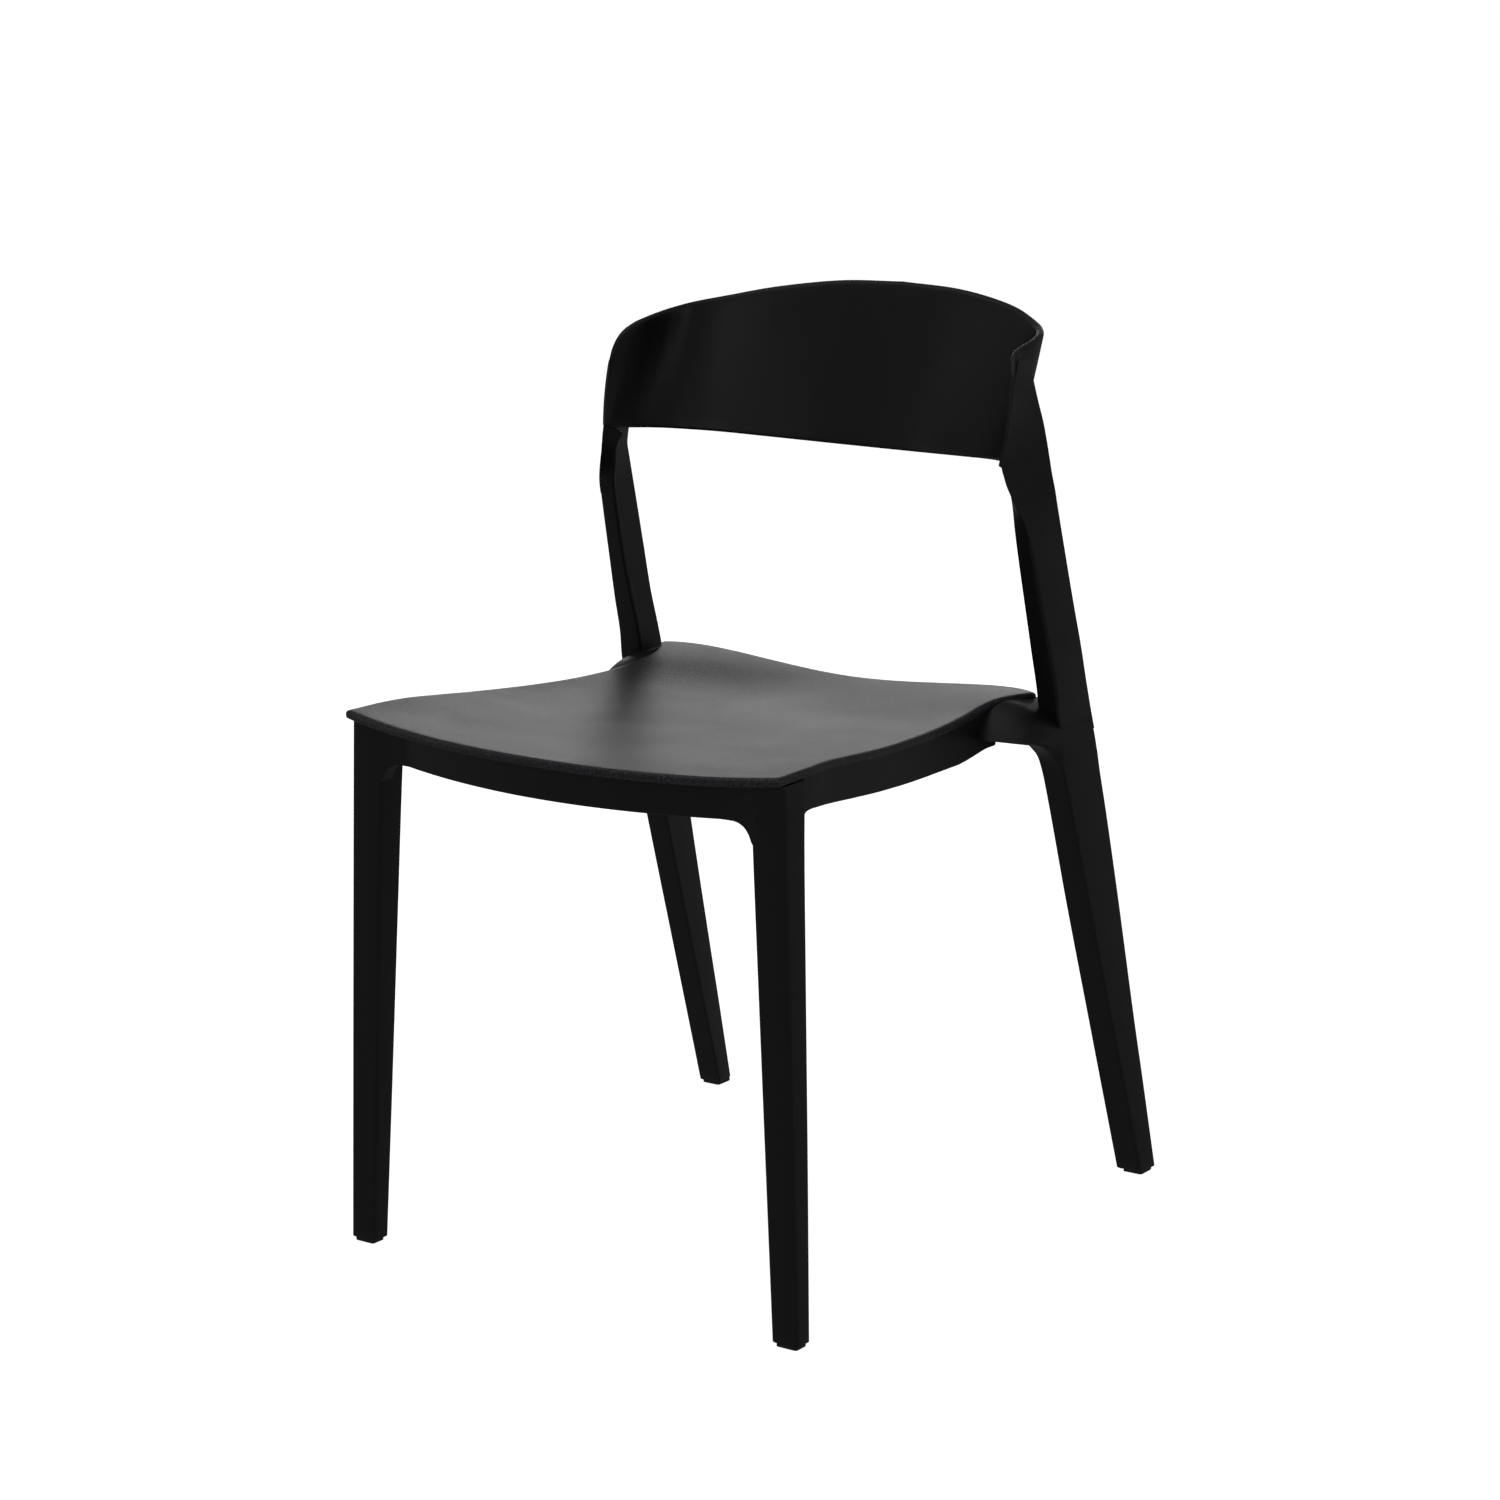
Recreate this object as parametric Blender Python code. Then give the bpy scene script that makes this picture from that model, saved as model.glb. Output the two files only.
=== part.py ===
# Stacking chair with a dished seat, raked legs and a curved back band.
# Metres, +Z up, front towards -Y, right side at +X. Tables are in millimetres from the front legs' front face.
import math

import bmesh
import bpy
from mathutils import Vector

mm = 0.001
midDepth = 259.08          # distance from the front legs' front face to the chair's middle, mm
gap = 0.3                 # clearance between pieces that touch, mm
rimDrop = 8.0             # thickness of the seat's rim, mm
shellThick = 5.0          # thickness of the seat's middle, mm
footZ = 3.3               # height of the leg's end above the floor, mm
seamZ = 632.0             # height where the back band joins the uprights, mm
railEndY = 319.0          # where the side rail meets the rear leg's head, mm
rearRailHalf = 191.9      # half length of the rear rail between the legs, mm
bandThick = 7.0
bandEdgeThick = 2.6       # thickness at the leading edge of each wing, mm
bandCrown = 1.6           # bulge of the band's faces between top and bottom, mm

# seat's half width by depth
seatHalf = [(-45, 216), (-7, 217.5), (0, 217), (40, 215), (80, 209.5), (120, 205), (160, 201), (200, 195.5),
            (240, 190), (280, 185), (320, 181), (350, 179.5), (368, 180), (382, 183.5), (394, 189.5), (404, 195),
            (415, 196.5), (430, 196.5)]
# by depth: height of the seat's top at its side edge, height in the middle, how square the dish is
seatHeight = [(-45, 467, 461.5, 2.4), (0, 468, 459, 2.4), (60, 467.3, 454, 2.4), (100, 464, 450.5, 2.4),
              (140, 460, 447.5, 2.4), (180, 456.6, 445, 2.4), (220, 454, 443.3, 2.4), (260, 452.3, 442.5, 2.4),
              (300, 452.2, 442.3, 2.4), (330, 453.5, 442.8, 2.3), (365, 457, 444.4, 2.1), (400, 459.3, 446.4, 1.7),
              (430, 459, 447.4, 1.6)]
# underside of the side rail by depth
sideRailLow = [(16, 424), (28.5, 426), (31.5, 429), (35, 431.3), (41, 432.3), (51, 431.9), (76, 429.6), (128, 424),
               (201, 417.2), (240, 414.4), (279, 412.5), (305, 411.5), (318, 411.2), (332, 412.1), (348, 414.5),
               (362, 416.9), (380, 417.6)]

# front leg by height: outer x, inner x, front y, rear y, reach of the outer front corner's round
frontLegTable = [(0, 230.6, 205.4, 0, 18.3, 3.0), (150, 226.1, 198.5, -0.5, 22.2, 3.6),
                 (300, 221.4, 191.6, -1.0, 25.6, 4.2), (406, 218, 186.9, -1.5, 28.3, 4.8),
                 (460, 216.4, 184.8, -1.5, 31, 5.0)]

# rear leg by height: outer front x y, outer rear x y, inner front x y, inner rear x y
rearLegTable = [(0, 243, 532, 244.2, 556.5, 217.7, 531.5, 223, 556.5),
                (90, 240.6, 501.7, 241.8, 534.3, 215.7, 501.2, 222, 534),
                (150, 239, 481.5, 240.2, 519, 214.4, 481, 221.3, 518.5),
                (270, 236, 441.3, 237.2, 490, 211.6, 441, 219.5, 488),
                (350, 234, 415, 235.3, 469.4, 209.8, 416, 216, 467),
                (385, 233, 403, 234.2, 460, 209, 404.5, 213, 458),
                (400, 232.8, 397, 233.6, 456.8, 207.8, 399.5, 211.5, 455.5),
                (408, 232.6, 391, 233.2, 455, 206, 396.5, 210.5, 454),
                (414.5, 232.4, 383, 232.8, 453.5, 204.2, 390.5, 209.5, 452.5),
                (420, 232.2, 374, 232.4, 452.3, 201.5, 384.5, 208.8, 451.7),
                (423, 232.1, 366, 232.3, 451.4, 197, 376, 208.3, 451),
                (425, 232, 359, 232.1, 450.8, 190, 362, 208, 450.6),
                (427, 231.9, 354, 232, 450, 184, 348, 207.7, 450),
                (430, 231.8, 346, 231.8, 449.5, 174, 333, 207.3, 449.5),
                (434, 231.6, 338, 232.2, 449, 168, 324, 207, 449),
                (462, 231.3, 334, 231.8, 447, 166, 319.5, 207.4, 447)]
# shoulder that falls from the seat's edge to the leg's outer face: x, z
shoulderTable = [(150, 456.8), (178, 456.8), (190, 456.0), (201, 453.6), (210, 450.2), (218, 446), (225, 440.5),
                 (231, 433.8), (236, 426), (246, 408)]

# upright and wing by height: outer front x y, outer rear x y, inner front x y,
# thickness of the front strip, of the outer wall beside it, and of the wall's rear edge
uprightTable = [(420, 231.6, 402, 229.4, 457.5, 210, 403, 8, 8, 2.6),
                (440, 231, 393, 228.2, 452, 209.3, 395.5, 8, 8, 2.2),
                (469, 230.4, 388.7, 227.8, 443, 208.8, 389.6, 8, 8, 2.2),
                (500, 229.2, 380, 227.9, 433.1, 209.2, 380, 7.5, 7, 2.2),
                (540, 226.8, 369, 226.4, 421.3, 209.4, 368.3, 7, 6.5, 2.2),
                (590, 224, 355.6, 224.8, 406.8, 208.2, 356, 6.5, 6, 2.2),
                (612, 221.7, 348.9, 224.2, 400.4, 207.1, 352.2, 6.5, 6, 2.2),
                (625, 217.5, 344.1, 223.9, 396.6, 205.2, 353, 6.5, 6, 2.2),
                (632, 214.7, 341.5, 223.8, 394.6, 204.4, 353, 6.3, 5.8, 2.2),
                (640, 211.8, 339.1, 223.6, 392.4, 203.4, 352.6, 6, 5.5, 2.2),
                (648, 209.1, 336.6, 222.2, 391.4, 201.6, 353.6, 5.5, 5, 2.2),
                (655, 207.4, 335.2, 220.8, 391, 199.4, 357, 4.5, 4.5, 2.2),
                (664, 205.4, 334.1, 218.8, 391.4, 202, 345, 3, 4.2, 2.2),
                (680, 205.6, 337, 214.5, 393, 202.6, 347, 2.6, 4.2, 2.2),
                (695, 206.4, 340, 210.8, 393.3, 203.2, 350, 2.6, 4, 2.2),
                (712, 207.1, 343.3, 207, 391, 203.6, 353, 2.6, 4, 2.2),
                (724, 207.3, 347, 204.4, 389.6, 203.4, 357, 2.6, 3.6, 2),
                (733, 206.9, 351, 202.3, 389, 202.4, 360, 2.6, 3, 1.8),
                (743, 204.9, 358, 200.1, 386.4, 200.8, 364, 2.2, 2.4, 1.4),
                (750, 201.5, 366, 198.6, 383, 199.5, 369, 1.6, 1.8, 1)]

# back band's outer face from the wing's leading edge to the middle: bottom x y z, top x y z
bandTable = [(0, 205.4, 334.3, 665, 207.2, 345.6, 720), (1, 205.7, 338.5, 664, 206, 354, 737.4),
             (2, 205.8, 343.5, 663, 202.8, 361.6, 746.2), (3, 205.4, 350, 662.3, 199, 370.5, 751.9),
             (4, 203, 360, 661.5, 195.8, 381, 755.2), (5, 197.5, 372, 660.6, 194.4, 396, 757.8),
             (6, 187, 387, 659.6, 191.4, 416, 760.8), (7, 170, 404, 657.9, 182.5, 439.5, 764.6),
             (8, 142, 424, 655.4, 160.5, 463, 769.6), (9, 100, 441, 652.4, 120.5, 487, 778),
             (10, 50, 456, 649.6, 62, 501.8, 785.6), (11, 0, 460.2, 648.8, 0, 505.6, 788)]

screwSpots = [(183, 95), (160, 285)]
padDepths = [110, 250]


def clearScene():
    for ob in list(bpy.data.objects):
        bpy.data.objects.remove(ob, do_unlink=True)


def material(name, color, rough):
    mat = bpy.data.materials.new(name)
    mat.use_nodes = True
    bsdf = mat.node_tree.nodes["Principled BSDF"]
    bsdf.inputs["Base Color"].default_value = (color[0], color[1], color[2], 1.0)
    bsdf.inputs["Roughness"].default_value = rough
    return mat


def at(table, t):
    """Smooth value of a table at t."""
    n = len(table)
    if t <= table[0][0]:
        return [float(v) for v in table[0][1:]]
    if t >= table[-1][0]:
        return [float(v) for v in table[-1][1:]]
    i = 0
    while t > table[i + 1][0]:
        i += 1
    t0 = table[i][0]
    t1 = table[i + 1][0]
    s = (t - t0) / (t1 - t0)
    out = []
    for k in range(1, len(table[0])):
        a = table[i][k]
        b = table[i + 1][k]
        flat = (b - a) / (t1 - t0)
        before = flat
        after = flat
        if i > 0:
            before = (b - table[i - 1][k]) / (t1 - table[i - 1][0])
        if i + 2 < n:
            after = (table[i + 2][k] - a) / (table[i + 2][0] - t0)
        h = t1 - t0
        value = (2 * s ** 3 - 3 * s * s + 1) * a + (s ** 3 - 2 * s * s + s) * h * before
        value += (3 * s * s - 2 * s ** 3) * b + (s ** 3 - s * s) * h * after
        out.append(value)
    return out


def rounded(corners, radii, steps):
    """Closed outline in plan with rounded corners."""
    out = []
    n = len(corners)
    for i in range(n):
        p = Vector(corners[i])
        a = (Vector(corners[i - 1]) - p)
        b = (Vector(corners[(i + 1) % n]) - p)
        r = min(radii[i], 0.45 * a.length, 0.45 * b.length)
        a.normalize()
        b.normalize()
        p0 = p + a * r
        p1 = p + b * r
        for k in range(steps + 1):
            s = k / steps
            q = p0 * (1 - s) ** 2 + p * 2 * s * (1 - s) + p1 * s * s
            out.append((q.x, q.y))
    return out


def toWorld(p):
    return Vector((p[0] * mm, (p[1] - midDepth) * mm, p[2] * mm))


def loft(name, rings, mat, mirror=False):
    """Closed solid through rings of equal length, capped at both ends."""
    bm = bmesh.new()
    rows = []
    for ring in rings:
        row = []
        for p in ring:
            x = -p[0] if mirror else p[0]
            row.append(bm.verts.new(toWorld((x, p[1], p[2]))))
        rows.append(row)
    n = len(rings[0])
    for a, b in zip(rows[:-1], rows[1:]):
        for i in range(n):
            j = (i + 1) % n
            bm.faces.new((a[i], a[j], b[j], b[i]))
    bm.faces.new(list(reversed(rows[0])))
    bm.faces.new(rows[-1])
    bmesh.ops.recalc_face_normals(bm, faces=bm.faces[:])
    return finish(name, bm, mat)


def finish(name, bm, mat):
    bmesh.ops.triangulate(bm, faces=[f for f in bm.faces if len(f.verts) < 6])
    mesh = bpy.data.meshes.new(name)
    bm.to_mesh(mesh)
    bm.free()
    ob = bpy.data.objects.new(name, mesh)
    bpy.context.scene.collection.objects.link(ob)
    if mat is not None:
        mesh.materials.append(mat)
    mesh.shade_smooth()
    mesh.set_sharp_from_angle(angle=math.radians(32))
    return ob


def box(name, lo, hi, mat=None, mirror=False):
    ring = [(lo[0], lo[1]), (hi[0], lo[1]), (hi[0], hi[1]), (lo[0], hi[1])]
    rings = [[(p[0], p[1], z) for p in ring] for z in (lo[2], hi[2])]
    return loft(name, rings, mat, mirror)


def rod(name, x, y, z0, z1, r, mat=None, mirror=False, sides=14):
    rings = []
    for z, radius in ((z0, r), (z1, r)):
        ring = []
        for i in range(sides):
            a = 2 * math.pi * (i + 0.37) / sides
            ring.append((x + radius * math.cos(a), y + radius * math.sin(a), z))
        rings.append(ring)
    return loft(name, rings, mat, mirror)


def combine(target, tool, operation, folded=False):
    """Adds the tool to the target or cuts it out, then removes the tool."""
    mod = target.modifiers.new("joint", "BOOLEAN")
    mod.operation = operation
    mod.solver = "EXACT"
    mod.use_self = folded
    mod.object = tool
    deps = bpy.context.evaluated_depsgraph_get()
    mesh = bpy.data.meshes.new_from_object(target.evaluated_get(deps))
    target.modifiers.remove(mod)
    old = target.data
    target.data = mesh
    mesh.name = target.name
    bpy.data.meshes.remove(old)
    bpy.data.objects.remove(tool, do_unlink=True)
    mesh.shade_smooth()
    mesh.set_sharp_from_angle(angle=math.radians(32))


def fillVoids(ob):
    """Keeps the outermost skin only, so that no void stays sealed where the wings fold over."""
    bm = bmesh.new()
    bm.from_mesh(ob.data)
    bm.verts.ensure_lookup_table()
    groups = []
    seen = set()
    for start in bm.verts:
        if start in seen:
            continue
        group = [start]
        seen.add(start)
        for v in group:
            for e in v.link_edges:
                other = e.other_vert(v)
                if other not in seen:
                    seen.add(other)
                    group.append(other)
        groups.append(group)
    groups.sort(key=len)
    for group in groups[:-1]:
        bmesh.ops.delete(bm, geom=group, context="VERTS")
    bm.to_mesh(ob.data)
    bm.free()


def grown(lo, hi, by):
    return [v - by for v in lo], [v + by for v in hi]


# tenons, as boxes on the right side: low corner and high corner
frontRailTenon = ((182, 6, 431), (196, 13, 450))
sideRailTenonFront = ((204, 18, 436), (210, 36, 451))
sideRailTenonRear = ((170.5, 309, 419), (175.5, 334, 437))
rearRailTenon = ((186, 404, 427), (210, 412, 439))


def uprightCorners(z):
    ox, oy, rx, ry, ix, iy, strip, root, tip = at(uprightTable, z)
    corner = Vector((ox, oy))
    rear = Vector((rx, ry))
    inner = Vector((ix, iy))
    alongWall = (rear - corner).normalized()
    alongStrip = (inner - corner).normalized()
    return corner, rear, inner, alongWall, alongStrip, (strip, root, tip)


def uprightRing(z):
    """L of front strip and outer wall, open to the rear."""
    corner, rear, inner, alongWall, alongStrip, (strip, root, tip) = uprightCorners(z)
    turn = max(0.6, abs(alongWall.cross(alongStrip)))
    inWall = Vector((-alongWall.y, alongWall.x))
    behindStrip = Vector((alongStrip.y, -alongStrip.x))
    nook = corner + alongStrip * (root / turn) + alongWall * (strip / turn)
    points = [corner, rear, rear + inWall * tip, nook, inner + behindStrip * strip * 0.92, inner]
    soft = [1.8 if z > 600 else 3.2, 0.9, 0.9, 4, 2.2, 2.2]
    return [(x, y, z) for x, y in rounded([tuple(p) for p in points], soft, 2)]


def tongue(by):
    """Peg of the back band inside the upright, near the corner of wall and strip."""
    rings = []
    for z in (616.0 - by, 625.0, 634.0):
        corner, rear, inner, alongWall, alongStrip, walls = uprightCorners(z)
        middle = corner + alongStrip * 2.9 + alongWall * 10
        ring = []
        for a, b in ((-1, -1), (1, -1), (1, 1), (-1, 1)):
            p = middle + alongStrip * a * (1.2 + by) + alongWall * b * (5 + by)
            ring.append((p.x, p.y, z))
        rings.append(ring)
    return rings


def frontLeg(side, mirror, mat):
    rings = []
    for z in (footZ, 60, 150, 240, 330, 400, 460):
        ox, ix, fy, ry, reach = at(frontLegTable, z)
        plan = rounded([(ox, fy), (ox, ry), (ix, ry), (ix, fy)], [reach, 3, 2.6, 3.2], 3)
        rings.append([(x, y, min(z, seatUnder(x, y) - gap)) for x, y in plan])
    leg = loft("front_leg_" + side, rings, mat, mirror)
    for lo, hi in (frontRailTenon, sideRailTenonFront):
        a, b = grown(lo, hi, gap)
        combine(leg, box("cut", a, b, None, mirror), "DIFFERENCE")
    combine(leg, rod("cut", 218.2, 9.2, -1, 18, 3.3, None, mirror), "DIFFERENCE")
    return leg


def aboveShoulder(mirror):
    """Room above the shoulder, which falls outwards and, near its front, forwards."""
    rings = []
    for i in range(28):
        y = 296 + 7 * i
        drop = 0.0155 * max(0.0, 376 - y) ** 2
        ring = []
        for k in range(17):
            x = 150 + 6 * k
            ring.append((x, y, at(shoulderTable, x)[0] - drop))
        rings.append(ring + [(246, y, 482), (150, y, 482)])
    return loft("cut", rings, None, mirror)


def seatRoom(mirror):
    """Room for the seat's edge over the rear leg's head."""
    rings = []
    for y in [300 + 15 * k for k in range(4)] + [360 + 4.2 * k for k in range(16)]:
        reach = min(1.0, ((430.5 - y) / 16) ** (1 / 9))
        edge = at(seatHalf, y)[0] * reach + 0.5
        ring = []
        for k in range(9):
            x = 150 + (edge - 150) * k / 8
            ring.append((x, y, seatUnder(x, y) - gap))
        rings.append(ring + [(edge, y, 490), (150, y, 490)])
    return loft("cut", rings, None, mirror)


def rearLeg(side, mirror, mat):
    rings = []
    for z in (footZ, 90, 150, 270, 350, 385, 400, 408, 414.5, 420, 423, 425, 427, 430, 434, 446, 462):
        ox, oy, rx, ry, ix, iy, jx, jy = at(rearLegTable, z)
        head = min(1.0, max(0.0, (z - 398) / 30))
        head = head * head * (3 - 2 * head)
        plan = rounded([(ox, oy), (rx, ry), (jx, jy), (ix, iy)], [3.2 + 26 * head, 2.6, 2.6, 2.6 + 3 * head], 4)
        rings.append([(x, y, z) for x, y in plan])
    leg = loft("rear_leg_" + side, rings, mat, mirror)
    combine(leg, aboveShoulder(mirror), "DIFFERENCE")
    combine(leg, seatRoom(mirror), "DIFFERENCE")
    heights = (424, 440, 455, 469, 485, 500, 520, 540, 565, 590, 601, 612, 619, 625, seamZ)
    combine(leg, loft("upright", [uprightRing(z) for z in heights], mat, mirror), "UNION")
    railRoot = [railRing(y) for y in (railEndY + gap, 326, 332, 340, 348, 355, 362, 372)]
    combine(leg, loft("root", railRoot, mat, mirror), "UNION")
    for lo, hi in (sideRailTenonRear, rearRailTenon):
        a, b = grown(lo, hi, gap)
        combine(leg, box("cut", a, b, None, mirror), "DIFFERENCE")
    combine(leg, loft("cut", tongue(gap), None, mirror), "DIFFERENCE")
    combine(leg, rod("cut", 232, 544, -1, 18, 3.3, None, mirror), "DIFFERENCE")
    return leg


def bandRing(bottom, top, normal, thick):
    """Vertical section of the band: outer face, rounded top, inner face, rounded bottom."""
    out = []
    half = thick / 2
    edge = (top - bottom).normalized()
    places = (0.02, 0.26, 0.5, 0.74, 0.98)
    for s in places:
        out.append(bottom.lerp(top, s) + normal * (4 * s * (1 - s) * bandCrown))
    for k in range(1, 4):
        a = math.pi * k / 4
        out.append(top + edge * (half * (math.sin(a) - 0.6)) - normal * (half * (1 - math.cos(a))))
    for s in reversed(places):
        out.append(bottom.lerp(top, s) + normal * (4 * s * (1 - s) * bandCrown - 2 * half))
    for k in range(3, 0, -1):
        a = math.pi * k / 4
        out.append(bottom - edge * (half * (math.sin(a) - 0.6)) - normal * (half * (1 - math.cos(a))))
    return [(p.x, p.y, p.z) for p in out]


def backBand(mat):
    rows = []
    count = 40
    last = bandTable[-1][0]
    for i in range(2 * count + 1):
        t = i / count * last
        side = 1
        if t > last:
            t = 2 * last - t
            side = -1
        v = at(bandTable, t)
        rows.append((Vector((side * v[0], v[1], v[2])), Vector((side * v[3], v[4], v[5]))))
    rings = []
    for i, (bottom, top) in enumerate(rows):
        before = rows[max(0, i - 1)]
        after = rows[min(len(rows) - 1, i + 1)]
        normal = (after[0] + after[1] - before[0] - before[1]).cross(top - bottom)
        normal.z = 0
        normal.normalize()
        t = min(i, len(rows) - 1 - i) / count * last
        thick = bandEdgeThick + (bandThick - bandEdgeThick) * math.sin(math.pi / 2 * min(1.0, t / 3.5))
        rings.append(bandRing(bottom, top, normal, thick))
    band = loft("back_band", rings, mat)
    heights = (seamZ + gap, 636, 640, 644, 648, 652, 655, 659, 664, 671, 680, 688, 695, 704, 712, 718, 724, 729,
               733, 738, 743, 749)
    for mirror in (False, True):
        root = loft("wing", [uprightRing(z) for z in heights], mat, mirror)
        combine(root, loft("tongue", tongue(0.0), mat, mirror), "UNION")
        combine(band, root, "UNION", True)
    fillVoids(band)
    return band


def seatTop(x, y):
    half = at(seatHalf, y)[0]
    edge, mid, power = at(seatHeight, y)
    s = min(1.0, abs(x) / half)
    settled = s * s * (3 - 2 * s)
    back = min(1.0, max(0.0, (y - 300) / 110))
    return mid + (edge - mid) * (s ** power * (1 - back) + settled * back)


def seatUnder(x, y):
    return seatTop(x, y) - rimDrop


def seatFront(s):
    return -7.5 - 30.0 * (1 - s * s)


def seatRear(s):
    return 428.0 - 16.0 * abs(s) ** 9


def seatShell(mat):
    """Shell through a grid of the seat's plan, with a thick rounded rim."""
    across = 22
    edgeDepths = (-7.5, 5, 30, 70, 110, 150, 190, 230, 270, 305, 335, 355, 365, 372, 378, 384, 390, 396, 402,
                  407, 412)
    along = len(edgeDepths) - 1
    bm = bmesh.new()

    def plan(i, j, inset):
        s = -1 + 2 * i / across
        t = (edgeDepths[j] + 7.5) / 419.5
        y = seatFront(s) * (1 - t) + seatRear(s) * t
        y = y + inset * (1 - 2 * t)
        x = s * (at(seatHalf, y)[0] - inset)
        return x, y

    top = []
    under = []
    for j in range(along + 1):
        rowTop = []
        rowUnder = []
        for i in range(across + 1):
            x, y = plan(i, j, 3.0)
            edge = min(i, across - i, j - 1, (along - j) / 3)
            thick = rimDrop if edge < 2 else shellThick
            z = seatTop(x, y)
            rowTop.append(bm.verts.new(toWorld((x, y, z))))
            rowUnder.append(bm.verts.new(toWorld((x, y, z - thick))))
        top.append(rowTop)
        under.append(rowUnder)
    for j in range(along):
        for i in range(across):
            bm.faces.new((top[j][i], top[j][i + 1], top[j + 1][i + 1], top[j + 1][i]))
            bm.faces.new((under[j][i], under[j + 1][i], under[j + 1][i + 1], under[j][i + 1]))
    border = [(i, 0) for i in range(across)] + [(across, j) for j in range(along)]
    border += [(i, along) for i in range(across, 0, -1)] + [(0, j) for j in range(along, 0, -1)]
    rims = []
    for drop in (rimDrop * 0.28, rimDrop * 0.72):
        rim = []
        for i, j in border:
            x, y = plan(i, j, 0.0)
            xi, yi = plan(i, j, 3.0)
            rim.append(bm.verts.new(toWorld((x, y, seatTop(xi, yi) - drop))))
        rims.append(rim)
    first = [top[j][i] for i, j in border]
    final = [under[j][i] for i, j in border]
    loops = [first] + rims + [final]
    n = len(border)
    for a, b in zip(loops[:-1], loops[1:]):
        for k in range(n):
            m = (k + 1) % n
            bm.faces.new((a[k], b[k], b[m], a[m]))
    bmesh.ops.recalc_face_normals(bm, faces=bm.faces[:])
    shell = finish("seat_shell", bm, mat)
    for mirror in (False, True):
        for x, y in screwSpots:
            boss = rod("boss", x, y, lugTop(x, y) + gap, seatTop(x, y) - 2.5, 7.0, mat, mirror)
            combine(shell, boss, "UNION")
            hole = rod("hole", x, y, lugTop(x, y) - 1, seatTop(x, y) - 4.0, 2.3, None, mirror)
            combine(shell, hole, "DIFFERENCE")
    return shell


def lugTop(x, y):
    return at(seatHeight, y)[0] - 28


def frontRail(mat):
    rings = []
    xs = [0, 30, 60, 90, 115, 140, 155, 165, 169, 172, 175, 178, 181, 184.5]
    for x in [-v for v in reversed(xs[1:])] + xs:
        a = abs(x)
        face = -27 + 25 * (a / 155) ** 2
        if a > 140:
            face = min(face, -1.5)
        over = max(0.0, a - 168.2)
        low = 425.6 - 17.8 + math.sqrt(17.8 ** 2 - over ** 2) - 1.1 * max(0.0, 1 - (a / 165) ** 2)
        high = seatTop(x, max(face + 6, seatFront(a / 214) + 6)) - rimDrop - gap - 0.6
        back = face + 12 + 4 * (a / 185) ** 4
        rings.append([(x, face, low + 2), (x, face, high), (x, back, high - 0.5), (x, back, low),
                      (x, face + 2, low)])
    rail = loft("front_rail", rings, mat)
    for mirror in (False, True):
        combine(rail, box("tenon", frontRailTenon[0], frontRailTenon[1], mat, mirror), "UNION")
    return rail


def railRing(y):
    """Section of the side rail under the seat's edge."""
    out = at(seatHalf, min(y, 365))[0] - 1.5 + 0.001 * max(0.0, y - 320) ** 2
    inner = out - 13
    low = at(sideRailLow, y)[0]
    highOut = seatUnder(out, y) - gap - 0.3
    highIn = seatUnder(inner, y) - gap - 0.3
    return [(out, y, low + 2), (out, y, highOut), (inner, y, highIn), (inner, y, low), (out - 2, y, low)]


def sideRail(side, mirror, mat):
    ys = (31.4, 34, 37, 41, 51, 64, 76, 90, 108, 128, 150, 175, 201, 220, 240, 260, 279, 292, 305, railEndY)
    rail = loft("side_rail_" + side, [railRing(y) for y in ys], mat, mirror)
    for x, y in screwSpots:
        half = at(seatHalf, y)[0]
        z = lugTop(x, y)
        lug = box("lug", (x - 11, y - 10, z - 6), (half - 7, y + 10, z), mat, mirror)
        combine(rail, lug, "UNION")
        combine(rail, rod("hole", x, y, z - 20, z + 20, 2.4, None, mirror), "DIFFERENCE")
    combine(rail, box("tenon", sideRailTenonFront[0], sideRailTenonFront[1], mat, mirror), "UNION")
    combine(rail, box("tenon", sideRailTenonRear[0], sideRailTenonRear[1], mat, mirror), "UNION")
    for y in padDepths:
        x = at(seatHalf, y)[0] - 11.2
        z = at(sideRailLow, y)[0]
        combine(rail, rod("hole", x, y, z - 5, z + 8, 2.3, None, mirror), "DIFFERENCE")
    return rail


def rearRail(mat):
    rings = []
    for i in range(15):
        x = rearRailHalf * (i - 7) / 7
        high = seatTop(x, 402) - rimDrop - gap - 0.3
        low = 421 + 5 * (x / 206) ** 2
        rings.append([(x, 402, low), (x, 402, high), (x, 415, high), (x, 415, low)])
    rail = loft("rear_rail", rings, mat)
    for mirror in (False, True):
        combine(rail, box("tenon", rearRailTenon[0], rearRailTenon[1], mat, mirror), "UNION")
    return rail


def glide(name, x, y, w, d, mirror, mat):
    base = loft(name, [[(p[0], p[1], z) for p in rounded([(x + w, y - d), (x + w, y + d), (x - w, y + d),
                (x - w, y - d)], [2.5, 2.5, 2.5, 2.5], 3)] for z in (0.0, 3.0)], mat, mirror)
    combine(base, rod("stem", x, y, 2.0, 15.0, 3.0, mat, mirror), "UNION")
    return base


def stackPad(name, y, mirror, mat):
    x = at(seatHalf, y)[0] - 11.2
    z = at(sideRailLow, y)[0] - gap
    slope = (at(sideRailLow, y + 9)[0] - at(sideRailLow, y - 9)[0]) / 18
    rings = []
    for dz in (-0.8, 0.0):
        plan = rounded([(x + 2.7, y - 10), (x + 2.7, y + 10), (x - 2.7, y + 10), (x - 2.7, y - 10)],
                       [2, 2, 2, 2], 3)
        rings.append([(p[0], p[1], z + dz + slope * (p[1] - y)) for p in plan])
    pad = loft(name, rings, mat, mirror)
    combine(pad, rod("stem", x, y, z - 0.4, z + 6, 2.0, mat, mirror), "UNION")
    return pad


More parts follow.
